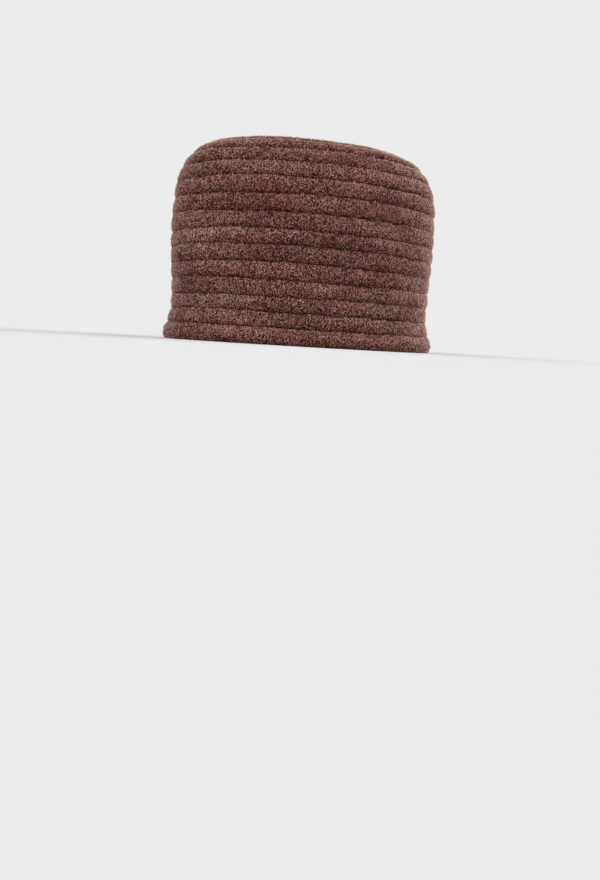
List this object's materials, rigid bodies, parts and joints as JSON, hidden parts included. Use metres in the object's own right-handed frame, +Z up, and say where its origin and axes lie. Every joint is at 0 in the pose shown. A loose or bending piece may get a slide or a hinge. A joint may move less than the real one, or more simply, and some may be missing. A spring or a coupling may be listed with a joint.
{
  "type": "wool hat",
  "caption": "Brimless wool hat, a tall soft pillbox worked in horizontal padded rows, with an oval tip and a rolled hem; worn on the head.",
  "frame": {"origin": "under the middle of the hat, in the plane of the hem that it rests on", "axes": "+Z up from the hem to the tip, the wearer faces -Y, so the long axis of the oval is Y and +X is the wearer's left"},
  "size_m": [0.1824, 0.2124, 0.138],
  "materials": {
    "wool": "matte, brushed melange wool in brown with lighter and darker fibres"
  },
  "bodies": {
    "root": {"rolled_hem": "wool", "side_crown": "wool", "tip": "wool"}
  },
  "joints": []
}
